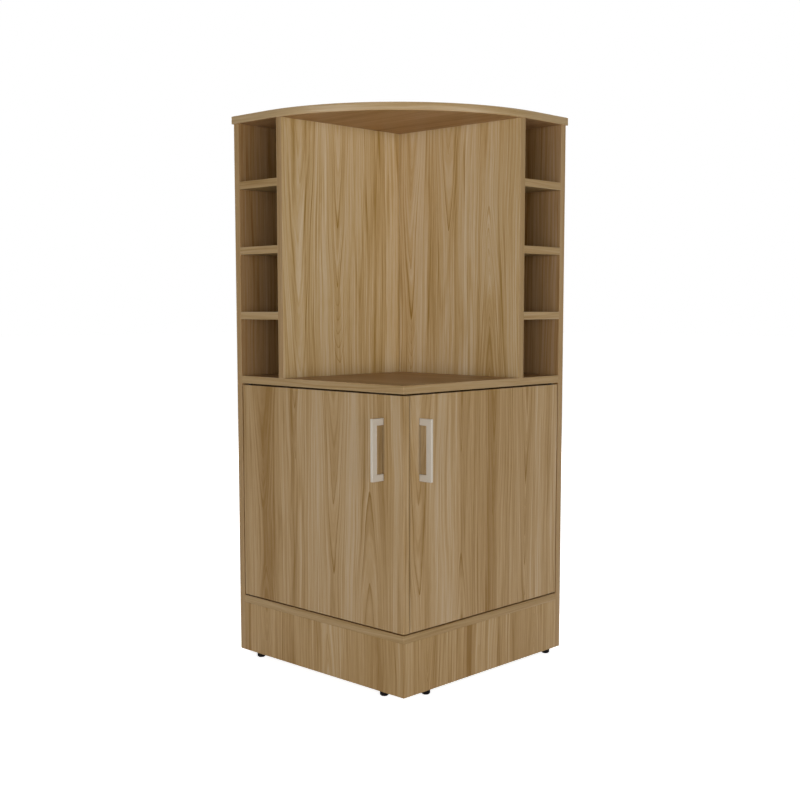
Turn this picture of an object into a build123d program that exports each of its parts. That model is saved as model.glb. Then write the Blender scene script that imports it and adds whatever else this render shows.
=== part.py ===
from build123d import *
import os
from math import hypot, sqrt

# A square corner cabinet that stands with two sides against the walls of a room.
# The upper half is an open niche between two columns of small pigeonholes, the
# lower half is a cupboard whose two inset doors meet at the room-side corner.
# All sizes are in millimetres. Z is up and zero is the floor.
# The left front faces -Y, the right front faces +X, the walls are at -X and +Y.

# Boards and plan
board = 19.0  # thickness of every board
carcass = 592.0  # side of the square plan, over the boards
top_overhang = 4.0  # top panel past the boards below it, on all four sides
top_radius = 464.0  # arc that takes the room-side corner off the top panel
edge_break = 0.6  # small bevel round the face of a door

# Heights
foot_height = 10.0
plinth_height = 126.5
door_height = 544.0
door_gap_below = 3.0
door_gap_above = 4.0
pigeonhole_height = 143.5
pigeonhole_rows = 4

# Widths and gaps
pigeonhole_width = 144.5
meeting_gap = 2.0  # back of the left door to the end of the right door
swing_clearance = 0.9  # door's hinge edge to the side panel, as its corner swings by

# Loose shelf in the cupboard
shelf_play = 1.0  # between the shelf and the walls beside it
shelf_setback = 25.0  # from the backs of the doors
shelf_corner_cut = 300.0  # leg of the corner cut off on the room side
shelf_height = 262.0  # top of the base panel to the underside of the shelf

# Shelf pins
pin_radius = 2.5
pin_in_board = 9.0
pin_under_shelf = 9.0
pin_from_front = 40.0  # shelf's front edge to the pin near it
pin_from_corner = 70.0  # shelf's wall-side corner to the pin near it

# Feet: one-piece plastic glides, their ribbed stems pushed up into the lower edges
foot_radius = 10.5
foot_bevel = 2.5
foot_stem_radius = 4.0
foot_stem_rib = 2.4
foot_stem_length = 16.0
left_front_foot_inset = 72.0  # outer faces of the left front to its two feet
right_front_near_inset = 84.0  # room-side corner to the near foot of the right front
right_front_far_inset = 48.0  # wall side of the right front to its far foot
wall_corner_foot_inset = 48.0  # wall corner to the foot under the left side panel

# Handles: flat bar bent into a D, standing edge on
handle_centres = 128.0  # screw to screw
handle_post = 15.5  # height of a post
handle_depth = 15.5  # depth of the grip, front to back
handle_width = 6.5
handle_projection = 36.8  # face of the door to the front of the grip
handle_outer_round = 1.6
handle_inner_round = 1.0
handle_edge = 0.5  # bevel along the long edges
handle_below_door_top = 124.5  # top of the door to the middle of the handle
left_handle_inset = 66.0  # room-side corner to the middle of the left handle
right_handle_inset = 54.0  # room-side corner to the middle of the right handle
handle_screw_radius = 2.0
handle_screw_reach = 11.0  # into the post
handle_screw_head_radius = 4.0
handle_screw_head = 2.4
handle_screw_slot_width = 1.2
handle_screw_slot_depth = 1.0

# Pivots: a plate let into each end of a door, its pin turning in a flanged bush
pivot_inset = 20.0  # door's hinge edge to the pivot
pivot_pin_radius = 4.0
pivot_pin_reach = 11.0  # into the worktop or the base panel
pivot_end_play = 0.5
pivot_plate_length = 46.0
pivot_plate_width = 13.0
pivot_plate_thickness = 2.5
pivot_plate_margin = 6.0  # door's hinge edge to the plate
running_clearance = 0.05  # pin to bush, on the radius
bush_wall = 2.0
bush_floor = 1.0
bush_flange_radius = 7.5
upper_bush_flange = 1.5
lower_bush_play = 0.2  # plate to the flange that carries the door

# Magnetic catches under the worktop and their strike plates on the doors
catch_inset = 110.0  # room-side corner to the middle of a catch
catch_length = 40.0
catch_depth = 12.0
catch_height = 16.0
catch_ear = 11.0
catch_ear_thickness = 2.4
catch_pole_length = 30.0
catch_pole_thickness = 1.4
catch_pole_spacing = 6.0
catch_pole_proud = 1.0
catch_pole_depth = 9.0
catch_pole_below_top = 7.5  # worktop to the upper pole
catch_air = 0.3  # strike plate to the poles with the door shut
strike_length = 38.0
strike_height = 15.0
strike_thickness = 1.2
strike_bevel = 2.0
strike_below_door_top = 1.5

# Loose tongues, glued into grooves wherever the end of a board meets another board
tongue_thickness = 4.0
tongue_width = 16.0  # half in each board
tongue_stop = 40.0  # from the end of a joint to the end of its tongue

fit = 0.1  # clearance round screws, pins, stems, plates and tongues in their seats

# Plan of the cabinet. The handles stand out in front and the top overhangs at the
# back, so the boards stand a little towards the wall corner and the whole is centred.
shift = (handle_projection - top_overhang) / 2
left_x = -carcass / 2 - shift  # outer face of the left side panel
right_x = left_x + carcass  # right front
front_y = -carcass / 2 + shift  # left front
back_y = front_y + carcass  # outer face of the right side panel
inner_x = left_x + board
inner_y = back_y - board
niche_x = inner_x + pigeonhole_width + board  # face of the left inner panel in the niche
niche_y = inner_y - pigeonhole_width - board

# Levels
plinth_bottom = foot_height
base_bottom = plinth_bottom + plinth_height
base_top = base_bottom + board
door_bottom = base_top + door_gap_below
door_top = door_bottom + door_height
worktop_bottom = door_top + door_gap_above
worktop_top = worktop_bottom + board
pigeonhole_pitch = pigeonhole_height + board
top_bottom = worktop_top + pigeonhole_rows * pigeonhole_pitch - board
top_top = top_bottom + board

# Doors, measured from the wall side of their own front
hinge_gap = hypot(pivot_inset, board / 2) - pivot_inset + swing_clearance
door_start = board + hinge_gap
left_door_end = carcass
right_door_end = carcass - board - meeting_gap
pivot_x = left_x + door_start + pivot_inset
pivot_y = front_y + board / 2
bush_bore_radius = pivot_pin_radius + running_clearance
bush_radius = bush_bore_radius + bush_wall
bush_depth = pivot_pin_reach + pivot_end_play + bush_floor
lower_bush_flange = door_gap_below - lower_bush_play

# The right front is the left one seen in a mirror that stands on the diagonal
diagonal = Plane(origin=(0, 0, 0), x_dir=(0, 0, 1), z_dir=(1, 1, 0))

pieces = {}


def slab(x_span, y_span, z_span):
    """A rectangular board between three pairs of faces."""
    with BuildPart() as blank:
        with BuildSketch(Plane.XY.offset(z_span[0])):
            with Locations(((x_span[0] + x_span[1]) / 2, (y_span[0] + y_span[1]) / 2)):
                Rectangle(x_span[1] - x_span[0], y_span[1] - y_span[0])
        extrude(amount=z_span[1] - z_span[0])
    return blank.part


def facing(points, normal):
    """Places on a face, each with its Z along the face's outward normal."""
    return [Plane(origin=point, z_dir=normal) for point in points]


def mirrored(solid):
    """The right-front twin of a piece drawn on the left front."""
    with BuildPart() as twin:
        mirror(solid, about=diagonal)
    return twin.part


up = (0, 0, 1)
down = (0, 0, -1)
east = (1, 0, 0)
south = (0, -1, 0)
north = (0, 1, 0)


def thick(middle):
    """Across a tongue: its thickness about the middle of a board."""
    return (middle - tongue_thickness / 2, middle + tongue_thickness / 2)


def deep(joint):
    """Into the boards: half of a tongue on each side of the joint."""
    return (joint - tongue_width / 2, joint + tongue_width / 2)


def along(start, end):
    """Along a joint: a tongue stops short of both ends."""
    return (start + tongue_stop, end - tongue_stop)


# One tongue for each joint, as the three spans of its block
left_inner_middle = niche_x - board / 2
right_inner_middle = niche_y + board / 2
tongues = {}
for joint, level in (("top", top_bottom), ("worktop", worktop_top)):
    tongues[f"left_inner_{joint}"] = (thick(left_inner_middle), along(front_y, niche_y), deep(level))
    tongues[f"right_inner_{joint}"] = (along(inner_x, right_x), thick(right_inner_middle), deep(level))
    tongues[f"divider_{joint}"] = (thick(left_inner_middle), along(niche_y + board, inner_y), deep(level))
tongues["left_side_top"] = (thick(left_x + board / 2), along(front_y, back_y), deep(top_bottom))
tongues["right_side_top"] = (along(inner_x, right_x), thick(inner_y + board / 2), deep(top_bottom))
for joint, level in (("base", base_bottom), ("worktop", worktop_bottom)):
    tongues[f"left_side_{joint}"] = (deep(inner_x), along(front_y, inner_y), thick(level + board / 2))
    tongues[f"right_side_{joint}"] = (along(inner_x, right_x), deep(inner_y), thick(level + board / 2))
tongues["wall_corner"] = (deep(inner_x), thick(inner_y + board / 2), along(plinth_bottom, top_bottom))
niche_z = (worktop_top, top_bottom)
tongues["left_side_right_inner"] = (deep(inner_x), thick(right_inner_middle), along(*niche_z))
tongues["left_inner_right_inner"] = (thick(left_inner_middle), deep(niche_y), along(*niche_z))
tongues["divider_right_inner"] = (thick(left_inner_middle), deep(niche_y + board), along(*niche_z))
tongues["divider_right_side"] = (thick(left_inner_middle), deep(inner_y), along(*niche_z))
plinth_z = (plinth_bottom, base_bottom)
left_plinth_middle = front_y + board / 2
right_plinth_middle = right_x - board / 2
tongues["left_plinth_base"] = (along(inner_x, right_x), thick(left_plinth_middle), deep(base_bottom))
right_plinth_run = along(front_y + board, inner_y)
tongues["right_plinth_base"] = (thick(right_plinth_middle), right_plinth_run, deep(base_bottom))
tongues["left_side_plinth"] = (deep(inner_x), thick(left_plinth_middle), along(*plinth_z))
tongues["right_side_plinth"] = (thick(right_plinth_middle), deep(inner_y), along(*plinth_z))
tongues["plinths"] = (thick(right_plinth_middle), deep(front_y + board), along(*plinth_z))
shelf_levels = [worktop_top + row * pigeonhole_pitch - board for row in range(1, pigeonhole_rows)]
for level in shelf_levels:
    height = thick(level + board / 2)
    tongues[f"left_side_shelf_{level}"] = (deep(inner_x), along(front_y, niche_y), height)
    tongues[f"left_inner_shelf_{level}"] = (deep(niche_x - board), along(front_y, niche_y), height)
    tongues[f"right_side_shelf_{level}"] = (along(niche_x, right_x), deep(inner_y), height)
    tongues[f"right_inner_shelf_{level}"] = (along(niche_x, right_x), deep(niche_y + board), height)


def grooves(*name_starts):
    """Grooves in the open part for all tongues whose names start so."""
    for name, spans in tongues.items():
        if name.startswith(name_starts):
            add(slab(*((low - fit, high + fit) for low, high in spans)), mode=Mode.SUBTRACT)


# Feet: two under each plinth board and one under the left side panel, at the wall corner
feet_places = {
    "left_front_feet": [
        (left_x + left_front_foot_inset, left_plinth_middle),
        (right_x - left_front_foot_inset, left_plinth_middle),
    ],
    "right_front_feet": [
        (right_plinth_middle, front_y + right_front_near_inset),
        (right_plinth_middle, back_y - right_front_far_inset),
    ],
    "wall_corner_foot": [(left_x + board / 2, back_y - wall_corner_foot_inset)],
}


def stem_holes(name):
    """Holes for the stems of feet, in the lower edge of the open board."""
    with Locations(*facing([(x, y, plinth_bottom) for x, y in feet_places[name]], down)):
        Hole(radius=foot_stem_radius + fit, depth=foot_stem_length + fit)


# Loose shelf and its pins
shelf_x = (inner_x + shelf_play, right_x - board - shelf_setback)
shelf_y = (front_y + board + shelf_setback, inner_y - shelf_play)
shelf_bottom = base_top + shelf_height
pin_z = shelf_bottom - pin_radius
left_pin_y = (shelf_y[0] + pin_from_front, shelf_y[1] - pin_from_corner)
right_pin_x = (shelf_x[1] - pin_from_front, shelf_x[0] + pin_from_corner)
left_pins = facing([(inner_x, y, pin_z) for y in left_pin_y], east)
right_pins = facing([(x, inner_y, pin_z) for x in right_pin_x], south)

# Side panels: the left one runs through behind the end of the right one
with BuildPart() as left_side_panel:
    add(slab((left_x, inner_x), (front_y, back_y), (plinth_bottom, top_bottom)))
    grooves("left_side", "wall_corner")
    stem_holes("wall_corner_foot")
    with Locations(*left_pins):
        Hole(radius=pin_radius + fit, depth=pin_in_board + fit)
pieces["left_side_panel"] = left_side_panel.part

with BuildPart() as right_side_panel:
    add(slab((inner_x, right_x), (inner_y, back_y), (plinth_bottom, top_bottom)))
    grooves("right_side", "wall_corner", "divider_right_side")
    with Locations(*right_pins):
        Hole(radius=pin_radius + fit, depth=pin_in_board + fit)
pieces["right_side_panel"] = right_side_panel.part

# Worktop and base panel: full squares between the side panels, flush in front,
# bored for the upper and the lower pivots of the two doors
pivots = [(pivot_x, pivot_y), (-pivot_y, -pivot_x)]

with BuildPart() as worktop:
    add(slab((inner_x, right_x), (front_y, inner_y), (worktop_bottom, worktop_top)))
    grooves("left_side_worktop", "right_side_worktop")
    grooves("left_inner_worktop", "right_inner_worktop", "divider_worktop")
    with Locations(*facing([(*place, worktop_bottom) for place in pivots], down)):
        Hole(radius=bush_radius + fit, depth=bush_depth + fit)
pieces["worktop"] = worktop.part

with BuildPart() as base_panel:
    add(slab((inner_x, right_x), (front_y, inner_y), (base_bottom, base_top)))
    grooves("left_side_base", "right_side_base", "left_plinth_base", "right_plinth_base")
    with Locations(*facing([(*place, base_top) for place in pivots], up)):
        Hole(radius=bush_radius + fit, depth=bush_depth + fit)
pieces["base_panel"] = base_panel.part

# Top panel: a square that overhangs a little all round, its room-side corner
# replaced by one long arc that runs tangent into both fronts
with BuildPart() as top_panel:
    with BuildSketch(Plane.XY.offset(top_bottom)) as outline:
        with Locations(((left_x + right_x) / 2, (front_y + back_y) / 2)):
            Rectangle(carcass + 2 * top_overhang, carcass + 2 * top_overhang)
        room_corner = outline.vertices().sort_by(Axis((0, 0, 0), (1, -1, 0)))[-1]
        fillet(room_corner, radius=top_radius)
    extrude(amount=board)
    grooves("left_side_top", "right_side_top", "left_inner_top", "right_inner_top", "divider_top")
pieces["top_panel"] = top_panel.part

# Inner panels, on the worktop and under the top: the left one stops against the
# right one, which runs through to the left side panel and closes the pigeonholes.
# Behind it a divider goes on in line with the left one.
with BuildPart() as left_inner_panel:
    add(slab((niche_x - board, niche_x), (front_y, niche_y), niche_z))
    grooves("left_inner")
pieces["left_inner_panel"] = left_inner_panel.part

with BuildPart() as right_inner_panel:
    add(slab((inner_x, right_x), (niche_y, niche_y + board), niche_z))
    grooves("right_inner", "left_inner_right_inner", "left_side_right_inner", "divider_right_inner")
pieces["right_inner_panel"] = right_inner_panel.part

with BuildPart() as rear_divider:
    add(slab((niche_x - board, niche_x), (niche_y + board, inner_y), niche_z))
    grooves("divider")
pieces["rear_divider"] = rear_divider.part

# Pigeonhole shelves, three in each column, their edges flush with the fronts
for level, height_name in zip(shelf_levels, ("lower", "middle", "upper")):
    with BuildPart() as left_shelf:
        add(slab((inner_x, niche_x - board), (front_y, niche_y), (level, level + board)))
        grooves(f"left_side_shelf_{level}", f"left_inner_shelf_{level}")
    pieces[f"left_{height_name}_pigeonhole_shelf"] = left_shelf.part
    with BuildPart() as right_shelf:
        add(slab((niche_x, right_x), (niche_y + board, inner_y), (level, level + board)))
        grooves(f"right_side_shelf_{level}", f"right_inner_shelf_{level}")
    pieces[f"right_{height_name}_pigeonhole_shelf"] = right_shelf.part

# Plinth: two boards under the base panel, lapped at the room-side corner
with BuildPart() as left_plinth:
    add(slab((inner_x, right_x), (front_y, front_y + board), plinth_z))
    grooves("left_plinth", "left_side_plinth", "plinths")
    stem_holes("left_front_feet")
pieces["left_plinth"] = left_plinth.part

with BuildPart() as right_plinth:
    add(slab((right_x - board, right_x), (front_y + board, inner_y), plinth_z))
    grooves("right_plinth", "right_side_plinth", "plinths")
    stem_holes("right_front_feet")
pieces["right_plinth"] = right_plinth.part

# Tongues, all in one group
with BuildPart() as loose_tongues:
    for spans in tongues.values():
        add(slab(*spans))
pieces["loose_tongues"] = loose_tongues.part

# Loose shelf: five-sided, so that its weight stays inside its four pins
with BuildPart() as cupboard_shelf:
    with BuildSketch(Plane.XY.offset(shelf_bottom)):
        with BuildLine():
            Polyline(
                (shelf_x[0], shelf_y[0]),
                (shelf_x[1] - shelf_corner_cut, shelf_y[0]),
                (shelf_x[1], shelf_y[0] + shelf_corner_cut),
                (shelf_x[1], shelf_y[1]),
                (shelf_x[0], shelf_y[1]),
                close=True,
            )
        make_face()
    extrude(amount=board)
pieces["cupboard_shelf"] = cupboard_shelf.part

with BuildPart() as shelf_pins:
    for place in left_pins + right_pins:
        with BuildSketch(place.offset(-pin_in_board)):
            Circle(pin_radius)
        extrude(amount=pin_in_board + pin_under_shelf)
pieces["shelf_pins"] = shelf_pins.part

# Feet: discs bevelled below, each with a stem of two crossed ribs in a round hole
rib_length = 2 * sqrt(foot_stem_radius**2 - (foot_stem_rib / 2) ** 2)
for name, places in feet_places.items():
    with BuildPart() as feet:
        with BuildSketch(Plane.XY):
            with Locations(*places):
                Circle(foot_radius)
        extrude(amount=foot_height)
        chamfer(feet.edges().group_by(Axis.Z)[0], length=foot_bevel)
        with BuildSketch(Plane.XY.offset(foot_height)):
            with Locations(*places):
                Rectangle(rib_length, foot_stem_rib)
                Rectangle(foot_stem_rib, rib_length)
        extrude(amount=foot_stem_length)
    pieces[name] = feet.part

# Doors and what is on them. Each piece is drawn on the left front, for its own door.
handle_z = door_top - handle_below_door_top
post_heights = [handle_z - handle_centres / 2, handle_z + handle_centres / 2]
pivot_plate_x = left_x + door_start + pivot_plate_margin + pivot_plate_length / 2
door_ends = ((door_bottom, -1), (door_top, 1))  # level of an end and the way it faces


def make_door(door_end, handle_x):
    """An inset door with seats for its pivot plates and holes for its handle."""
    door_x = (left_x + door_start, left_x + door_end)
    with BuildPart() as door:
        add(slab(door_x, (front_y, front_y + board), (door_bottom, door_top)))
        chamfer(door.faces().sort_by(Axis.Y)[0].edges(), length=edge_break)
        for level, way in door_ends:
            with BuildSketch(Plane.XY.offset(level)):
                with Locations((pivot_plate_x, pivot_y)):
                    Rectangle(pivot_plate_length + 2 * fit, pivot_plate_width + 2 * fit)
            extrude(amount=-way * pivot_plate_thickness, mode=Mode.SUBTRACT)
        with Locations(*facing([(handle_x, front_y, z) for z in post_heights], south)):
            Hole(radius=handle_screw_radius + fit)
    return door.part


def make_handle(handle_x):
    """A D handle: two posts and a grip, sawn and bent from one flat bar."""
    lower = handle_z - (handle_centres + handle_post) / 2
    upper = handle_z + (handle_centres + handle_post) / 2
    grip_front = front_y - handle_projection
    grip_back = grip_front + handle_depth
    with BuildPart() as pull:
        with BuildSketch(Plane.YZ.offset(handle_x - handle_width / 2)) as profile:
            with BuildLine():
                Polyline(
                    (front_y, lower),
                    (grip_front, lower),
                    (grip_front, upper),
                    (front_y, upper),
                    (front_y, upper - handle_post),
                    (grip_back, upper - handle_post),
                    (grip_back, lower + handle_post),
                    (front_y, lower + handle_post),
                    close=True,
                )
            make_face()
            fillet(profile.vertices().group_by(Axis.Y)[0], radius=handle_outer_round)
            fillet(profile.vertices().group_by(Axis.Y)[-2], radius=handle_inner_round)
        extrude(amount=handle_width)
        sides = pull.faces().filter_by(Axis.X).edges()
        on_door = sides.filter_by(lambda edge: edge.bounding_box().min.Y > front_y - handle_edge)
        chamfer(sides - on_door, length=handle_edge)
        with Locations(*facing([(handle_x, front_y, z) for z in post_heights], north)):
            Hole(radius=handle_screw_radius + fit, depth=handle_screw_reach + fit)
    return pull.part


def make_handle_screws(handle_x):
    """Two pan-head screws from the back of the door into the posts."""
    back_of_door = front_y + board
    with BuildPart() as screws:
        for z in post_heights:
            seat = Plane(origin=(handle_x, back_of_door, z), z_dir=north)
            with BuildSketch(seat):
                Circle(handle_screw_head_radius)
            extrude(amount=handle_screw_head)
            with BuildSketch(seat.offset(handle_screw_head)):
                Rectangle(2 * handle_screw_head_radius, handle_screw_slot_width)
            extrude(amount=-handle_screw_slot_depth, mode=Mode.SUBTRACT)
            with BuildSketch(seat):
                Circle(handle_screw_radius)
            extrude(amount=-(board + handle_screw_reach))
    return screws.part


def make_pivot(level, way, gap):
    """A plate let into one end of the door, with its pivot pin riveted in."""
    with BuildPart() as pivot:
        with BuildSketch(Plane.XY.offset(level)):
            with Locations((pivot_plate_x, pivot_y)):
                Rectangle(pivot_plate_length, pivot_plate_width)
        extrude(amount=-way * pivot_plate_thickness)
        with BuildSketch(Plane.XY.offset(level)):
            with Locations((pivot_x, pivot_y)):
                Circle(pivot_pin_radius)
        extrude(amount=way * (gap + pivot_pin_reach))
    return pivot.part


def make_bushes():
    """Flanged bushes pressed into the worktop and the base panel, mouths to the door."""
    with BuildPart() as bushes:
        for level, way, flange in ((worktop_bottom, -1, upper_bush_flange), (base_top, 1, lower_bush_flange)):
            seat = Plane(origin=(pivot_x, pivot_y, level), z_dir=(0, 0, way))
            with BuildSketch(seat):
                Circle(bush_flange_radius)
            extrude(amount=flange)
            with BuildSketch(seat):
                Circle(bush_radius)
            extrude(amount=-bush_depth)
            with BuildSketch(seat.offset(flange)):
                Circle(bush_bore_radius)
            extrude(amount=-(flange + pivot_pin_reach + pivot_end_play), mode=Mode.SUBTRACT)
    return bushes.part


def make_catch():
    """The plastic case of a magnetic catch, its two ears against the worktop."""
    middle = right_x - catch_inset
    half = catch_length / 2
    case_front = front_y + board + strike_thickness + catch_air + catch_pole_proud
    depth_span = (case_front, case_front + catch_depth)
    case_z = (worktop_bottom - catch_height, worktop_bottom)
    ear_z = (worktop_bottom - catch_ear_thickness, worktop_bottom)
    with BuildPart() as case:
        add(slab((middle - half, middle + half), depth_span, case_z))
        add(slab((middle - half - catch_ear, middle + half + catch_ear), depth_span, ear_z))
        for level in pole_levels:
            with BuildSketch(Plane(origin=(middle, case_front, level), x_dir=east, z_dir=south)):
                Rectangle(catch_pole_length + 2 * fit, catch_pole_thickness + 2 * fit)
            extrude(amount=fit - catch_pole_depth, mode=Mode.SUBTRACT)
    return case.part


def make_poles():
    """The two steel pole plates of a catch, a little proud of its case."""
    middle = right_x - catch_inset
    pole_front = front_y + board + strike_thickness + catch_air
    with BuildPart() as poles:
        for level in pole_levels:
            with BuildSketch(Plane(origin=(middle, pole_front, level), x_dir=east, z_dir=south)):
                Rectangle(catch_pole_length, catch_pole_thickness)
            extrude(amount=-catch_pole_depth)
    return poles.part


def make_strike():
    """The steel plate on the back of a door that the catch holds."""
    strike_z = door_top - strike_below_door_top - strike_height / 2
    middle = (right_x - catch_inset, front_y + board, strike_z)
    with BuildPart() as strike:
        with BuildSketch(Plane(origin=middle, x_dir=east, z_dir=south)):
            blank = Rectangle(strike_length, strike_height)
            chamfer(blank.vertices(), length=strike_bevel)
        extrude(amount=-strike_thickness)
    return strike.part


upper_pole = worktop_bottom - catch_pole_below_top
pole_levels = [upper_pole, upper_pole - catch_pole_spacing]
fronts = (
    ("left", left_door_end, right_x - left_handle_inset, lambda solid: solid),
    ("right", right_door_end, right_x - right_handle_inset, mirrored),
)
for side, door_end, handle_x, placed in fronts:
    pieces[f"{side}_door"] = placed(make_door(door_end, handle_x))
    pieces[f"{side}_handle"] = placed(make_handle(handle_x))
    pieces[f"{side}_handle_screws"] = placed(make_handle_screws(handle_x))
    pieces[f"{side}_upper_pivot"] = placed(make_pivot(door_top, 1, door_gap_above))
    pieces[f"{side}_lower_pivot"] = placed(make_pivot(door_bottom, -1, door_gap_below))
    pieces[f"{side}_bushes"] = placed(make_bushes())
    pieces[f"{side}_catch_case"] = placed(make_catch())
    pieces[f"{side}_catch_poles"] = placed(make_poles())
    pieces[f"{side}_strike_plate"] = placed(make_strike())

os.makedirs("parts", exist_ok=True)
for name, solid in pieces.items():
    solid.label = name
    export_step(solid, f"parts/{name}.step")
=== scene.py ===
import bpy
import bmesh
from math import radians
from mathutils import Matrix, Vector


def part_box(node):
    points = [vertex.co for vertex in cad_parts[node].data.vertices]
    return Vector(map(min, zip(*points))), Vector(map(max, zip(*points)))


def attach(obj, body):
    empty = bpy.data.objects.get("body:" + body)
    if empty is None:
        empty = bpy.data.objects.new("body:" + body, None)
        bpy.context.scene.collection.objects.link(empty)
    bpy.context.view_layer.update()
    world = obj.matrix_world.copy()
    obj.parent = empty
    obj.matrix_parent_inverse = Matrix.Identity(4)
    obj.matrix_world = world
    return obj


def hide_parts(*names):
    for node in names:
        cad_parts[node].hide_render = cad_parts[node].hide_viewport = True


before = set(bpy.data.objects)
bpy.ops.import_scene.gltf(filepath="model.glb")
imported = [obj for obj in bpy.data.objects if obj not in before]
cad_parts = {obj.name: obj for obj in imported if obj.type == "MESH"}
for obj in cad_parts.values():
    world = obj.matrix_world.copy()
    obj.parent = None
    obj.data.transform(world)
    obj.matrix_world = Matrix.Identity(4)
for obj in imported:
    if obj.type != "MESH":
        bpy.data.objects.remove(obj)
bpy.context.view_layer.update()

# Side panels: two tall boards that stand against the walls of the room. They are
# chipboard faced with an elm-look laminate, grain upright, edges banded in the same
# decor. The left one runs through behind the end of the right one.
MM = 0.001
edge_round = 0.5 * MM  # rounding of a banded edge
edge_segments = 2
weld = 0.001 * MM  # points of the CAD's loose triangles so near each other are one
light_wood = (0.372, 0.276, 0.164, 1)
mid_wood = (0.288, 0.184, 0.076, 1)
ochre_wood = (0.160, 0.078, 0.008, 1)


def nodes_of(tree):
    """Short makers for the nodes and links of one node tree."""
    def add(kind, **settings):
        node = tree.nodes.new(kind)
        for key, value in settings.items():
            if key.startswith("in_"):
                node.inputs[key[3:].replace("_", " ")].default_value = value
            else:
                setattr(node, key, value)
        return node

    def link(source, target):
        tree.links.new(source, target)

    return add, link


def reckon(tree, operation, first, second=None, third=None):
    """The result of one step of arithmetic, on sockets or numbers."""
    node = tree.nodes.new("ShaderNodeMath")
    node.operation = operation
    for socket, value in zip(node.inputs, (first, second, third)):
        if isinstance(value, bpy.types.NodeSocket):
            tree.links.new(value, socket)
        elif value is not None:
            socket.default_value = value
    return node.outputs[0]


def grain_group(name, inputs, outputs):
    """An empty node group, with the maker of its links, its input sockets and its output node."""
    group = bpy.data.node_groups.new(name, "ShaderNodeTree")
    for socket in inputs:
        group.interface.new_socket(socket, in_out="INPUT", socket_type="NodeSocketFloat")
    for socket, kind in outputs:
        group.interface.new_socket(socket, in_out="OUTPUT", socket_type="NodeSocket" + kind)
    add, link = nodes_of(group)
    start = add("NodeGroupInput")
    end = add("NodeGroupOutput")
    return group, link, [start.outputs[socket] for socket in inputs], end


def stretched_noise(group, place, scales, detail, roughness, shift):
    """Noise drawn out along the grain, as a number about one half.

    place is the sockets across, along and board, and scales are per metre across and along.
    """
    add, link = nodes_of(group)
    across, along, board = place
    point = add("ShaderNodeCombineXYZ")
    link(reckon(group, "MULTIPLY", across, scales[0]), point.inputs[0])
    link(reckon(group, "MULTIPLY", along, scales[1]), point.inputs[1])
    link(reckon(group, "ADD", board, shift), point.inputs[2])
    noise = add("ShaderNodeTexNoise", in_Scale=1.0, in_Detail=detail, in_Roughness=roughness)
    link(point.outputs[0], noise.inputs["Vector"])
    return noise.outputs[0]


def about_zero(group, noise, reach):
    """The same noise about zero, and reach from its lowest to its highest."""
    return reckon(group, "MULTIPLY_ADD", noise, reach, -reach / 2)


# The grain leans and wavers a few millimetres on its way up a board.
waver_reach = 34 * MM
wander_grain, link, (across, along, board), end = grain_group(
    "wander_grain", ("Across", "Along", "Board"), [("Bent", "Float")])
place = (across, along, board)
waver = stretched_noise(wander_grain, place, (6, 2.2), detail=2, roughness=0.45, shift=11.3)
waver = about_zero(wander_grain, waver, waver_reach)
link(reckon(wander_grain, "ADD", across, waver), end.inputs["Bent"])

# A cathedral: growth rings cut flat, as pointed arches one inside the other. The plain
# grain beside it is pushed aside and closes up again past its tip.
arch_power = 1.5  # an arch is straight-sided at 1 and round at 2
arch_fading = 11.0  # how fast an arch pales behind its dark edge
ripple_reach = 30 * MM
closing_up = 18 * MM  # how far beside an arch the grain is still pushed
arch_step = 6 * MM  # how far each arch inside another shifts the grain
cathedral, link, places, end = grain_group(
    "cathedral_grain",
    ("Bent", "Along", "Board", "Centre", "Tip", "Way", "Spread", "Spacing", "Rings", "Length"),
    [("Amount", "Float"), ("Push", "Float")])
bent, along, board, centre, tip, way, spread, spacing, rings, length = places
place = (bent, along, board)
ripple = stretched_noise(cathedral, place, (90, 9), detail=2, roughness=0.5, shift=51.7)
ripple = about_zero(cathedral, ripple, ripple_reach)
off_centre = reckon(cathedral, "SUBTRACT", bent, centre)
side = reckon(cathedral, "ABSOLUTE", off_centre)
above = reckon(cathedral, "MULTIPLY_ADD", reckon(cathedral, "SUBTRACT", along, tip), way, ripple)
inside = reckon(cathedral, "MULTIPLY", reckon(cathedral, "POWER", side, arch_power), spread)
inside = reckon(cathedral, "SUBTRACT", above, inside)
ring = reckon(cathedral, "DIVIDE", inside, spacing)
late_wood = reckon(cathedral, "MULTIPLY", reckon(cathedral, "FRACT", ring), -arch_fading)
late_wood = reckon(cathedral, "EXPONENT", late_wood)
within = reckon(cathedral, "MULTIPLY", reckon(cathedral, "GREATER_THAN", ring, 0.0),
                reckon(cathedral, "LESS_THAN", ring, rings))
fade = reckon(cathedral, "SUBTRACT", 1.0, reckon(cathedral, "DIVIDE", above, length))
fade = reckon(cathedral, "MAXIMUM", fade, 0.0)
amount = reckon(cathedral, "MULTIPLY", reckon(cathedral, "MULTIPLY", late_wood, within), fade)
link(amount, end.inputs["Amount"])
half_width = reckon(cathedral, "DIVIDE", reckon(cathedral, "MAXIMUM", above, 0.0), spread)
half_width = reckon(cathedral, "POWER", half_width, 1 / arch_power)
outside = reckon(cathedral, "MAXIMUM", reckon(cathedral, "SUBTRACT", side, half_width), 0.0)
yielding = reckon(cathedral, "EXPONENT", reckon(cathedral, "MULTIPLY", outside, -1 / closing_up))
push = reckon(cathedral, "MINIMUM", side, reckon(cathedral, "MULTIPLY", half_width, yielding))
push = reckon(cathedral, "MULTIPLY", push, reckon(cathedral, "SIGN", off_centre))
nested = reckon(cathedral, "MULTIPLY", reckon(cathedral, "MAXIMUM", inside, 0.0), arch_step)
nested = reckon(cathedral, "DIVIDE", nested, spacing)
link(reckon(cathedral, "SUBTRACT", nested, push), end.inputs["Push"])

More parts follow.
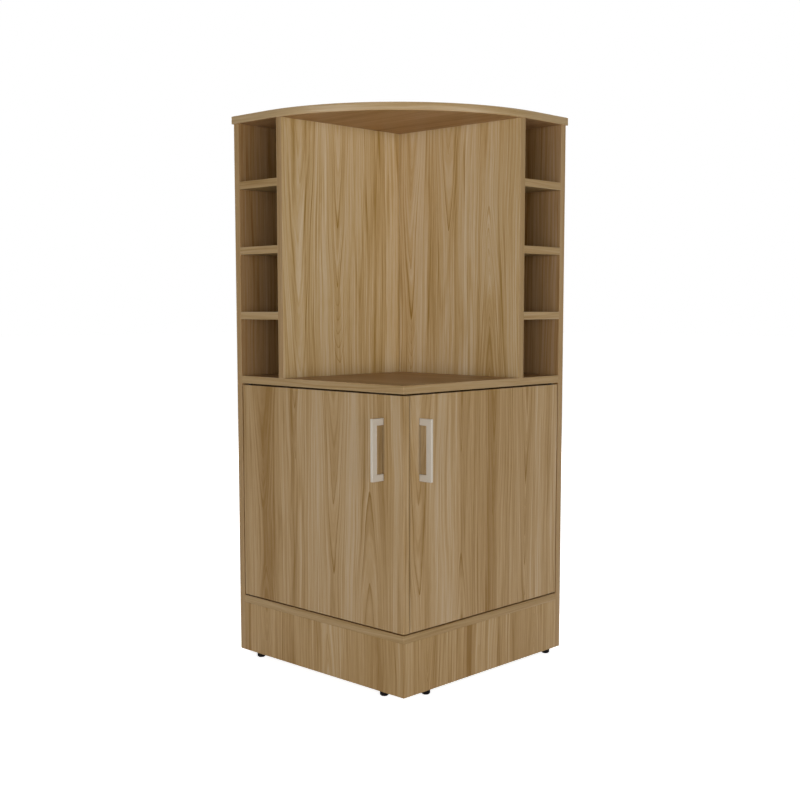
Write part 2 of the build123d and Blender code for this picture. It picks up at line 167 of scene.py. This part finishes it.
# A band: a stripe of slower or faster growth that runs the length of the board.
band_grain, link, (bent, centre, width), end = grain_group(
    "band_grain", ("Bent", "Centre", "Width"), [("Amount", "Float")])
side = reckon(band_grain, "DIVIDE", reckon(band_grain, "SUBTRACT", bent, centre), width)
side = reckon(band_grain, "MULTIPLY", reckon(band_grain, "POWER", side, 2.0), -1.0)
link(reckon(band_grain, "EXPONENT", side), end.inputs["Amount"])

# The printed elm itself: calm broad bands under fine crisp growth lines, fibres and
# pores, with the figure laid over them.
mean_tone = 0.40
rings_per_metre = 100.0
ring_wander = 14.0  # rings that a line crosses as it wanders along the board
ring_fading = 6.0  # how fast a ring pales behind its dark edge
ring_depth = 0.20
patch_start = 0.375  # the rings come and go in patches, where a noise is above this
patch_contrast = 3.2
elm, link, (bent, along, board, figure, wildness, crispness), end = grain_group(
    "elm_decor", ("Bent", "Along", "Board", "Figure", "Wildness", "Crispness"),
    [("Color", "Color"), ("Height", "Float")])
place = (bent, along, board)
bands = stretched_noise(elm, place, (9, 0.45), detail=1, roughness=0.5, shift=7.1)
stripes = stretched_noise(elm, place, (28, 0.5), detail=1, roughness=0.5, shift=9.4)
broad = reckon(elm, "ADD", about_zero(elm, bands, reach=1.50), about_zero(elm, stripes, reach=0.50))
fine = None
for scales, detail, depth, shift in (
    ((75, 0.9), 1, 0.34, 17.9),
    ((170, 1.6), 1, 0.46, 19.2),
    ((340, 5.0), 2, 0.62, 23.4),
    ((900, 30.0), 1, 0.30, 31.2),
):
    fibres = stretched_noise(elm, place, scales, detail, roughness=0.6, shift=shift)
    lines = about_zero(elm, fibres, depth)
    fine = reckon(elm, "ADD", fine, lines) if fine else lines
for scales, thinness, depth, shift in (
    ((16, 0.6), 34.0, 0.20, 61.4),
    ((42, 0.9), 26.0, 0.20, 67.2),
    ((115, 1.3), 9.0, 0.15, 73.9),
):
    hair = stretched_noise(elm, place, scales, detail=1, roughness=0.5, shift=shift)
    hair = reckon(elm, "ABSOLUTE", reckon(elm, "SUBTRACT", hair, 0.5))
    hair = reckon(elm, "MAXIMUM", reckon(elm, "MULTIPLY_ADD", hair, -thinness, 1.0), 0.0)
    fine = reckon(elm, "MULTIPLY_ADD", hair, depth, fine)
ring_warp = stretched_noise(elm, place, (9, 0.5), detail=2, roughness=0.5, shift=37.7)
ring = reckon(elm, "MULTIPLY_ADD", bent, rings_per_metre, reckon(elm, "MULTIPLY", ring_warp, ring_wander))
ring = reckon(elm, "EXPONENT", reckon(elm, "MULTIPLY", reckon(elm, "FRACT", ring), -ring_fading))
presence = stretched_noise(elm, place, (22, 0.8), detail=1, roughness=0.5, shift=43.0)
presence = reckon(elm, "MULTIPLY_ADD", presence, patch_contrast, -patch_contrast * patch_start)
presence = reckon(elm, "MAXIMUM", presence, 0.0)
fine = reckon(elm, "MULTIPLY_ADD", reckon(elm, "MULTIPLY", ring, presence), ring_depth, fine)
tone = reckon(elm, "MULTIPLY_ADD", broad, wildness, mean_tone)
tone = reckon(elm, "MULTIPLY_ADD", fine, crispness, tone)
tone = reckon(elm, "ADD", tone, figure)
colour = elm.nodes.new("ShaderNodeValToRGB")
stops = colour.color_ramp.elements
stops[0].position = 0.0
stops[0].color = light_wood
stops[1].position = 1.0
stops[1].color = ochre_wood
stops.new(0.45).color = mid_wood
link(tone, colour.inputs[0])
link(colour.outputs[0], end.inputs["Color"])
link(fibres, end.inputs["Height"])


def laminate(name, along_axes, across_axes, board, offset=0.0, bands=(), cathedrals=(),
             tint=(1, 1, 1), wildness=1.0, crispness=1.0):
    """A laminate finish whose grain runs along the sum of some axes.

    board is a number that gives each board a stretch of the decor of its own. offset moves
    the figure to the middle of the board. bands are (centre, half width, darkening) and
    cathedrals are (centre, tip, way, spread, spacing, rings, length, darkening, push), in
    metres across and along the board. way is 1 where the arches point down and -1 where
    they point up, and a larger spread makes them steeper. A cathedral inside a larger one
    has a push of 0.
    """
    material = bpy.data.materials.new(name)
    material.use_nodes = True
    tree = material.node_tree
    tree.nodes.clear()
    add, link = nodes_of(tree)
    place = add("ShaderNodeTexCoord")
    parts = add("ShaderNodeSeparateXYZ")
    link(place.outputs["Object"], parts.inputs[0])

    def total(axes):
        sockets = [parts.outputs["XYZ".index(axis)] for axis in axes]
        value = sockets[0]
        for socket in sockets[1:]:
            value = reckon(tree, "ADD", value, socket)
        return value

    along = total(along_axes)
    wander = add("ShaderNodeGroup", node_tree=wander_grain)
    link(reckon(tree, "ADD", total(across_axes), offset), wander.inputs["Across"])
    link(along, wander.inputs["Along"])
    wander.inputs["Board"].default_value = board
    bent = wander.outputs["Bent"]

    figure = None
    for centre, width, depth in bands:
        band = add("ShaderNodeGroup", node_tree=band_grain)
        link(bent, band.inputs["Bent"])
        band.inputs["Centre"].default_value = centre
        band.inputs["Width"].default_value = width
        figure = reckon(tree, "MULTIPLY_ADD", band.outputs[0], depth, figure or 0.0)
    flow = bent
    for centre, tip, way, spread, spacing, rings, length, depth, push in cathedrals:
        arch = add("ShaderNodeGroup", node_tree=cathedral)
        link(bent, arch.inputs["Bent"])
        link(along, arch.inputs["Along"])
        for key, value in zip(
            ("Board", "Centre", "Tip", "Way", "Spread", "Spacing", "Rings", "Length"),
            (board, centre, tip, way, spread, spacing, rings, length),
        ):
            arch.inputs[key].default_value = value
        figure = reckon(tree, "MULTIPLY_ADD", arch.outputs["Amount"], depth, figure or 0.0)
        flow = reckon(tree, "MULTIPLY_ADD", arch.outputs["Push"], push, flow)

    pattern = add("ShaderNodeGroup", node_tree=elm)
    link(flow, pattern.inputs["Bent"])
    link(along, pattern.inputs["Along"])
    pattern.inputs["Board"].default_value = board
    pattern.inputs["Wildness"].default_value = wildness
    pattern.inputs["Crispness"].default_value = crispness
    if figure:
        link(figure, pattern.inputs["Figure"])
    bump = add("ShaderNodeBump", in_Strength=0.12, in_Distance=0.3 * MM)
    link(pattern.outputs["Height"], bump.inputs["Height"])
    surface = add("ShaderNodeBsdfPrincipled", in_Roughness=0.40, in_Specular_IOR_Level=0.25)
    tinted = add("ShaderNodeVectorMath", operation="MULTIPLY")
    link(pattern.outputs["Color"], tinted.inputs[0])
    tinted.inputs[1].default_value = tint
    link(tinted.outputs[0], surface.inputs["Base Color"])
    link(bump.outputs[0], surface.inputs["Normal"])
    out = add("ShaderNodeOutputMaterial")
    link(surface.outputs[0], out.inputs["Surface"])
    return material


def edge_banding(name, along_axes, across_axes, board, tint, wildness=0.2, crispness=0.6):
    """A laminate finish that is calmer, for the band along a board's edge."""
    return laminate(name, along_axes, across_axes, board, tint=tint, wildness=wildness, crispness=crispness)


def finished_board(node, body, finishes):
    """A board with its long edges rounded.

    finishes are those of its faces and of its edges, and where there are three, the second
    is that of the face that looks away from the cabinet.
    """
    near = 5 * weld  # a point so near one of the board's own levels lies on it
    same_plane = radians(0.5)
    sharp = radians(30)
    mostly = 0.9  # part of a face's normal along an axis if it looks that way
    squarely = 0.999  # the same for a face that looks straight that way

    mesh = bmesh.new()
    mesh.from_mesh(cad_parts[node].data)
    bmesh.ops.remove_doubles(mesh, verts=mesh.verts, dist=weld)
    bmesh.ops.dissolve_limit(mesh, angle_limit=same_plane, verts=mesh.verts, edges=mesh.edges)
    low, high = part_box(node)
    size = high - low
    thin = min(range(3), key=lambda axis: size[axis])

    def outside(face):
        """Whether a face is on the board's outside, and not in one of its holes or grooves."""
        for axis in range(3):
            for level in (low[axis], high[axis]):
                if all(abs(vert.co[axis] - level) < near for vert in face.verts):
                    return True
        # The top panel's arc is on none of these levels, but it spans the board's thickness.
        heights = [vert.co[thin] for vert in face.verts]
        spans = max(heights) - min(heights) > size[thin] - near
        return spans and node == "top_panel"

    edges = [
        edge for edge in mesh.edges
        if len(edge.link_faces) == 2
        and all(outside(face) for face in edge.link_faces)
        and edge.calc_face_angle(0.0) > sharp
    ]
    bmesh.ops.bevel(
        mesh, geom=edges, offset=edge_round, offset_type="OFFSET", affect="EDGES",
        segments=edge_segments, profile=0.5, material=-1, clamp_overlap=True,
    )
    for face in mesh.faces:
        flat = abs(face.normal[thin]) > mostly
        outward = face.normal[thin] * face.calc_center_median()[thin] > 0
        if not flat:
            face.material_index = len(finishes) - 1
        elif outward and len(finishes) == 3:
            face.material_index = 1
        else:
            face.material_index = 0
        face.smooth = max(abs(value) for value in face.normal) < squarely
    data = bpy.data.meshes.new(node + "_board")
    mesh.to_mesh(data)
    mesh.free()
    piece = bpy.data.objects.new(node + "_board", data)
    bpy.context.scene.collection.objects.link(piece)
    for finish in finishes:
        data.materials.append(finish)
    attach(piece, body)
    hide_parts(node)


upright_edge = edge_banding("upright_edge_banding", "Z", "XY", 5.5, tint=(0.87, 0.85, 0.84))
for node, board in (("left_side_panel", 1.0), ("right_side_panel", 2.0)):
    # The faces inside the cabinet are tinted redder than the wall sides. This is painted bounce light: the
    # warm light that the wood casts back into the pigeonholes.
    inner_side_painted_bounce = laminate(node + "_laminate", "Z", "XY", board, tint=(1.09, 0.98, 0.98), wildness=0.5)
    wall_side = laminate(node + "_wall_side", "Z", "XY", board, tint=(0.96, 0.98, 1.05), wildness=0.6)
    finished_board(node, "cabinet", [inner_side_painted_bounce, wall_side, upright_edge])

# Base panel and worktop: two square boards of the same laminate, glued between the side
# panels on loose tongues and flush with both fronts. Their banding shows along the
# fronts, with its grain running level.
level_edge = edge_banding("level_edge_banding", "XY", "Z", 5.0, tint=(0.92, 0.94, 0.98),
                          wildness=0.3, crispness=0.8)
for node, board in (("base_panel", 3.0), ("worktop", 4.0)):
    # These boards are tinted warmer than the doors. This is painted bounce light, from the wood around
    # their level faces.
    finish = laminate(node + "_laminate", "X", "Y", board, tint=(1.10, 0.93, 0.85), wildness=0.6)
    finished_board(node, "cabinet", [finish, level_edge])

# Plinth: two boards on edge under the base panel, with upright grain and glued to it on
# loose tongues. The left one laps the end of the right one, and the front feet stand
# under them.
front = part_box("right_plinth")[1].x  # from the middle of the cabinet to either front
plinth_figures = {
    "left_plinth": dict(
        board=6.0, offset=front,
        bands=[(-0.205, 0.014, 0.20), (-0.100, 0.012, 0.22), (0.030, 0.026, -0.16), (0.200, 0.012, 0.24)],
        cathedrals=[(-0.205, 0.045, 1, 60, 0.08, 1.5, 0.20, 0.35, 1),
                    (0.022, 0.115, -1, 90, 0.06, 2.0, 0.20, 0.40, 1)],
    ),
    "right_plinth": dict(
        board=7.0, offset=-front,
        bands=[(-0.170, 0.012, 0.18), (-0.052, 0.012, 0.28), (-0.015, 0.018, -0.14), (0.120, 0.012, 0.12)],
        cathedrals=[(-0.200, 0.030, 1, 90, 0.08, 1.5, 0.20, 0.35, 1),
                    (0.200, 0.120, -1, 90, 0.07, 2.0, 0.20, 0.35, 1)],
    ),
}
for node, figures in plinth_figures.items():
    finish = laminate(node + "_laminate", "Z", "XY", wildness=0.5, **figures)
    finished_board(node, "cabinet", [finish])

# Inner panels: the two upright boards of the open niche, and the rear divider that goes
# on behind them in line with the left one. They are laminate with banded front edges,
# glued between the worktop and the top on loose tongues.
niche_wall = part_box("right_inner_panel")[0].y  # from the middle to either wall of the niche
# The tints of the two inner panels make their faces paler, cooler and brighter than the doors'. This is
# painted light: it stands for more light in the open niche than the lamps give it.
inner_figures_and_painted_light = {
    "left_inner_panel": dict(
        board=8.0, offset=niche_wall, tint=(1.20, 1.29, 1.46),
        bands=[(-0.246, 0.007, 0.22), (-0.224, 0.010, -0.12), (-0.205, 0.004, 0.22), (-0.194, 0.004, 0.16),
               (-0.170, 0.014, 0.08), (-0.142, 0.022, -0.26), (-0.008, 0.014, 0.05), (0.036, 0.013, 0.14),
               (0.084, 0.014, -0.20), (0.110, 0.018, -0.22)],
        cathedrals=[(-0.093, 0.948, 1, 110, 0.147, 1.98, 0.85, 0.72, 1),
                    (-0.093, 0.755, 1, 24, 0.036, 5.0, 0.30, 0.45, 0),
                    (-0.230, 0.740, 1, 60, 0.16, 1.2, 0.40, 0.26, 1),
                    (-0.222, 1.205, 1, 60, 0.16, 1.2, 0.40, 0.30, 0)],
    ),
    "right_inner_panel": dict(
        board=9.0, offset=-niche_wall, tint=(1.13, 1.18, 1.28),
        bands=[(-0.100, 0.012, 0.10), (-0.050, 0.022, -0.16), (-0.030, 0.008, -0.14), (0.008, 0.016, 0.08),
               (0.070, 0.007, 0.22), (0.102, 0.022, -0.22), (0.150, 0.006, 0.06), (0.182, 0.012, -0.06),
               (0.217, 0.005, 0.16), (0.258, 0.018, -0.08)],
        cathedrals=[(-0.087, 0.862, 1, 75, 0.136, 1.98, 0.75, 0.68, 1),
                    (-0.086, 0.735, 1, 24, 0.034, 3.6, 0.20, 0.45, 0),
                    (0.047, 1.095, 1, 60, 0.195, 1.9, 0.45, 0.50, 1),
                    (0.181, 1.150, -1, 60, 0.055, 6.0, 0.50, 0.50, 1)],
    ),
}
inner_edge_tints = {"left_inner_panel": (0.88, 0.87, 0.93), "right_inner_panel": (0.82, 0.80, 0.76)}
for node, figures in inner_figures_and_painted_light.items():
    finish = laminate(node + "_laminate", "Z", "XY", wildness=0.5, **figures)
    edge = edge_banding(node + "_edge_banding", "Z", "XY", 5.5, inner_edge_tints[node])
    finished_board(node, "cabinet", [finish, edge])
finished_board("rear_divider", "cabinet", [laminate("rear_divider_laminate", "Z", "XY", 10.0)])

# Pigeonhole shelves: three short boards in each column, of the same laminate and banded
# in front. They are glued on loose tongues into the panels on both sides of them.
shelf_laminate = laminate("pigeonhole_shelf_laminate", "X", "Y", 11.0)
for side in ("left", "right"):
    for height in ("lower", "middle", "upper"):
        finished_board(f"{side}_{height}_pigeonhole_shelf", "cabinet", [shelf_laminate, level_edge])

# Top panel: a square board with one long arc cut in place of its room-side corner and
# its edge banded all along. It is glued down on loose tongues and stands past the
# boards below it by a few millimetres.
# The arc's banding is tinted paler and cooler than the other banding. This is a painted sheen that stands
# for the softboxes' reflection along it.
top_edge_painted_sheen = edge_banding("top_edge_banding", "XY", "Z", 12.0, tint=(1.04, 1.14, 1.40), wildness=0.1)
# The underside is tinted warmer and brighter than the upper side. This is painted bounce light from the
# niche walls and worktop below it.
painted_bounce_underside = laminate("top_underside_laminate", "X", "Y", 13.0, tint=(1.23, 1.05, 1.04), wildness=0.6)
upper_side = laminate("top_laminate", "X", "Y", 13.5, tint=(0.98, 0.98, 1.02), wildness=0.6)
finished_board("top_panel", "cabinet", [painted_bounce_underside, upper_side, top_edge_painted_sheen])

# Loose shelf: a five-sided board of the same laminate in the cupboard, its corner cut
# off behind the doors' meeting corner. It lies on its four pins and isn't fixed.
finished_board("cupboard_shelf", "cabinet", [laminate("loose_shelf_laminate", "X", "Y", 14.0), level_edge])


# Shelf pins: four plain round pins of steel, zinc plated, pushed into blind holes in
# the side panels, two in each. The loose shelf lies on them.
def plain_finish(name, colour, metallic, roughness, mottle, mottle_scale, shine=0.5):
    """A metal, a plastic or bare wood, with a little unevenness in its gloss."""
    material = bpy.data.materials.new(name)
    material.use_nodes = True
    tree = material.node_tree
    tree.nodes.clear()
    add, link = nodes_of(tree)
    place = add("ShaderNodeTexCoord")
    noise = add("ShaderNodeTexNoise", in_Scale=mottle_scale, in_Detail=3.0)
    link(place.outputs["Object"], noise.inputs["Vector"])
    gloss = add("ShaderNodeMapRange", in_To_Min=roughness - mottle, in_To_Max=roughness + mottle)
    link(noise.outputs[0], gloss.inputs["Value"])
    surface = add("ShaderNodeBsdfPrincipled", in_Metallic=metallic, in_Base_Color=colour,
                  in_Specular_IOR_Level=shine)
    link(gloss.outputs[0], surface.inputs["Roughness"])
    bump = add("ShaderNodeBump", in_Strength=0.05, in_Distance=0.1 * MM)
    link(noise.outputs[0], bump.inputs["Height"])
    link(bump.outputs[0], surface.inputs["Normal"])
    out = add("ShaderNodeOutputMaterial")
    link(surface.outputs[0], out.inputs["Surface"])
    return material


def dress(node, finish):
    """Gives a CAD node a finish of its own."""
    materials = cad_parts[node].data.materials
    materials.clear()
    materials.append(finish)


zinc = plain_finish("zinc_plate", (0.23, 0.235, 0.245, 1), metallic=1.0, roughness=0.50,
                    mottle=0.08, mottle_scale=260.0)
dress("shelf_pins", zinc)

# Loose tongues: flat strips of beech, glued into grooves wherever the end of one board
# meets another, half in each. None of them shows once the cabinet is together.
beech = plain_finish("beech_strip", (0.50, 0.33, 0.17, 1), metallic=0.0, roughness=0.7,
                     mottle=0.05, mottle_scale=90.0)
dress("loose_tongues", beech)

# Feet: moulded glides of black plastic, each with a ribbed stem pushed up into the lower
# edge of a board. Four stand under the fronts and one at the wall corner.
black_plastic = plain_finish("black_plastic", (0.005, 0.004, 0.004, 1), metallic=0.0, roughness=0.60,
                             mottle=0.08, mottle_scale=300.0, shine=0.04)
for node in ("left_front_feet", "right_front_feet", "wall_corner_foot"):
    dress(node, black_plastic)

# Doors: two inset boards of the same laminate that meet at the room-side corner, the
# left one lapping the end of the right one. Each turns on pivots let into its ends.
door_figures_and_painted_shadow = {
    "left": dict(
        board=15.0, offset=front,
        bands=[(-0.245, 0.012, -0.06), (-0.198, 0.030, 0.30), (-0.214, 0.006, 0.10), (-0.150, 0.018, -0.12),
               (-0.101, 0.006, 0.24), (-0.070, 0.014, -0.16), (-0.028, 0.030, -0.16), (0.018, 0.005, 0.16),
               # The band at 0.203 is partly a darker stripe of the grain and partly a painted shadow of the
               # handle's grip, which stands in front of it; it runs the door's whole height.
               (0.047, 0.014, 0.10), (0.112, 0.024, -0.22), (0.150, 0.009, 0.10), (0.203, 0.011, 0.16),
               (0.250, 0.030, -0.08)],
        cathedrals=[(0.048, 0.262, 1, 64, 0.173, 1.98, 0.80, 0.78, 1),
                    (0.169, 0.477, -1, 52, 0.217, 1.98, 0.60, 0.76, 1),
                    (-0.092, 0.530, 1, 130, 0.15, 1.0, 0.30, 0.50, 1),
                    (-0.088, 0.655, 1, 60, 0.10, 1.0, 0.20, 0.60, 0),
                    (-0.214, 0.390, 1, 40, 0.10, 1.0, 0.20, 0.40, 1),
                    (-0.208, 0.245, -1, 40, 0.10, 1.0, 0.20, 0.35, 1)],
    ),
    "right": dict(
        board=16.0, offset=-front,
        bands=[(-0.234, 0.008, -0.06), (-0.212, 0.010, 0.20), (-0.125, 0.034, -0.20), (-0.085, 0.006, 0.22),
               (-0.035, 0.022, 0.06), (0.026, 0.026, 0.36), (0.090, 0.030, -0.04), (0.170, 0.018, 0.18),
               (0.222, 0.024, -0.18), (0.259, 0.004, 0.24)],
        cathedrals=[(-0.231, 0.240, 1, 62, 0.210, 1.98, 0.60, 0.68, 1),
                    (-0.085, 0.560, 1, 150, 0.15, 1.0, 0.30, 0.55, 1),
                    (-0.085, 0.320, -1, 60, 0.15, 1.0, 0.30, 0.45, 1),
                    (0.165, 0.175, 1, 130, 0.075, 5.2, 0.60, 0.70, 1),
                    (0.034, 0.395, 1, 160, 0.13, 1.6, 0.30, 0.40, 1)],
    ),
}
for side, figures in door_figures_and_painted_shadow.items():
    finish = laminate(f"{side}_door_laminate", "Z", "XY", tint=(0.99, 1.00, 1.05), wildness=0.5, **figures)
    finished_board(f"{side}_door", f"{side}_door", [finish])

# Pivots: a plate of black-plated steel let into each end of a door, with a pin riveted
# in. The pin turns in a flanged bush of brown nylon, pressed into the worktop above and
# into the base panel below.
black_zinc = plain_finish("black_zinc_plate", (0.020, 0.018, 0.016, 1), metallic=0.0, roughness=0.60,
                          mottle=0.08, mottle_scale=260.0, shine=0.15)
nylon = plain_finish("brown_nylon", (0.040, 0.024, 0.014, 1), metallic=0.0, roughness=0.6,
                     mottle=0.06, mottle_scale=200.0, shine=0.2)
for side in ("left", "right"):
    dress(f"{side}_upper_pivot", black_zinc)
    dress(f"{side}_lower_pivot", black_zinc)
    dress(f"{side}_bushes", nylon)

# Magnetic catches: a brown plastic case with two steel pole plates hangs by its ears
# under the worktop behind each door, and a zinc-plated strike plate lies on the door's
# back.
for side in ("left", "right"):
    dress(f"{side}_catch_case", nylon)
    dress(f"{side}_catch_poles", zinc)
    dress(f"{side}_strike_plate", zinc)

# Handles: flat bar bent into a D and plated in satin nickel, each held from inside by
# two zinc-plated screws through the door.
satin_nickel = plain_finish("satin_nickel", (0.41, 0.365, 0.305, 1), metallic=0.20, roughness=0.42,
                            mottle=0.05, mottle_scale=500.0)
for side in ("left", "right"):
    dress(f"{side}_handle", satin_nickel)
    dress(f"{side}_handle_screws", zinc)

# The stage, which isn't part of the cabinet: a pale matt floor that runs into a white
# background, softboxes square to the fronts and behind the walls, and the camera where
# the photo's stood.
floor_size = 60.0
floor_mesh = bmesh.new()
bmesh.ops.create_grid(floor_mesh, x_segments=1, y_segments=1, size=floor_size / 2)
floor_data = bpy.data.meshes.new("floor")
floor_mesh.to_mesh(floor_data)
floor_mesh.free()
floor = bpy.data.objects.new("floor", floor_data)
bpy.context.scene.collection.objects.link(floor)


def seen_directly(tree):
    """One for camera, glossy and transmission rays and zero for the rays that carry light."""
    path = tree.nodes.new("ShaderNodeLightPath")
    value = reckon(tree, "MAXIMUM", path.outputs["Is Camera Ray"], path.outputs["Is Glossy Ray"])
    return reckon(tree, "MAXIMUM", value, path.outputs["Is Transmission Ray"])


near_floor = 1.0  # metres from the middle of the cabinet, and how white the floor is there
near_white = 0.86
far_floor = 2.2  # from here on the floor is as white as the background
floor_finish = bpy.data.materials.new("pale_floor")
floor_finish.use_nodes = True
tree = floor_finish.node_tree
tree.nodes.clear()
add, link = nodes_of(tree)
matt = add("ShaderNodeBsdfDiffuse", in_Color=(0.75, 0.75, 0.75, 1))
glow = add("ShaderNodeEmission", in_Color=(1, 1, 1, 1))
place = add("ShaderNodeTexCoord")
reach = add("ShaderNodeVectorMath", operation="LENGTH")
link(place.outputs["Object"], reach.inputs[0])
paling = add("ShaderNodeMapRange", in_From_Min=near_floor, in_From_Max=far_floor,
             in_To_Min=near_white, in_To_Max=1.0)
link(reach.outputs["Value"], paling.inputs["Value"])
link(reckon(tree, "MULTIPLY", seen_directly(tree), paling.outputs[0]), glow.inputs["Strength"])
both = add("ShaderNodeAddShader")
link(matt.outputs[0], both.inputs[0])
link(glow.outputs[0], both.inputs[1])
out = add("ShaderNodeOutputMaterial")
link(both.outputs[0], out.inputs["Surface"])
floor_data.materials.append(floor_finish)

room_light = 0.02  # the white room hardly lights the cabinet: the lamps do that
world = bpy.data.worlds.new("soft_room")
bpy.context.scene.world = world
world.use_nodes = True
tree = world.node_tree
tree.nodes.clear()
add, link = nodes_of(tree)
background = add("ShaderNodeBackground", in_Color=(1, 1, 1, 1))
strength = add("ShaderNodeMapRange", in_To_Min=room_light, in_To_Max=1.0)
link(seen_directly(tree), strength.inputs["Value"])
link(strength.outputs[0], background.inputs["Strength"])
out = add("ShaderNodeOutputWorld")
link(background.outputs[0], out.inputs["Surface"])

aim = Vector((0, 0, 1.0))  # the place on the cabinet that every lamp looks at
lights = [
    # name, place, width, height, power in watts, spread in degrees
    ("overhead_grid_softbox", (-0.60, 0.60, 4.6), 0.6, 0.6, 1.8, 18),
    ("left_key_softbox", (0.0, -6.0, 1.0), 0.5, 1.5, 97.0, 180),
    ("right_key_softbox", (6.0, 0.0, 1.0), 0.5, 1.5, 108.0, 180),
    ("left_fill_softbox", (1.80, -5.72, 0.9), 3.8, 1.5, 123.0, 180),
    ("right_fill_softbox", (5.72, -1.80, 0.9), 3.8, 1.5, 134.0, 180),
    ("front_softbox", (4.2, -4.2, 2.0), 1.2, 0.8, 14.0, 180),
    ("behind_left_softbox", (-4.6, 1.2, 2.6), 3.0, 2.0, 110.0, 180),
    ("behind_right_softbox", (-1.2, 4.6, 2.6), 3.0, 2.0, 110.0, 180),
]
for name, place, width, height, power, spread in lights:
    lamp = bpy.data.lights.new(name, "AREA")
    lamp.shape = "RECTANGLE"
    lamp.size = width
    lamp.size_y = height
    lamp.energy = power
    lamp.spread = radians(spread)
    lamp_object = bpy.data.objects.new(name, lamp)
    lamp_object.location = place
    lamp_object.rotation_euler = (aim - Vector(place)).to_track_quat("-Z", "Y").to_euler()
    bpy.context.scene.collection.objects.link(lamp_object)

looking_down = 5.707  # degrees
turned_left = 43.673  # degrees from looking along +Y
camera_data = bpy.data.cameras.new("camera")
camera_data.sensor_width = 36.0
camera_data.lens = 53.568
camera_data.shift_x = -0.0102
camera_data.shift_y = 0.0310
camera_data.clip_end = 200.0
camera = bpy.data.objects.new("camera", camera_data)
camera.location = (2.1113, -2.1837, 0.9029)
camera.rotation_euler = (radians(90 - looking_down), 0, radians(turned_left))
bpy.context.scene.collection.objects.link(camera)
bpy.context.scene.camera = camera
bpy.context.scene.view_settings.view_transform = "Standard"
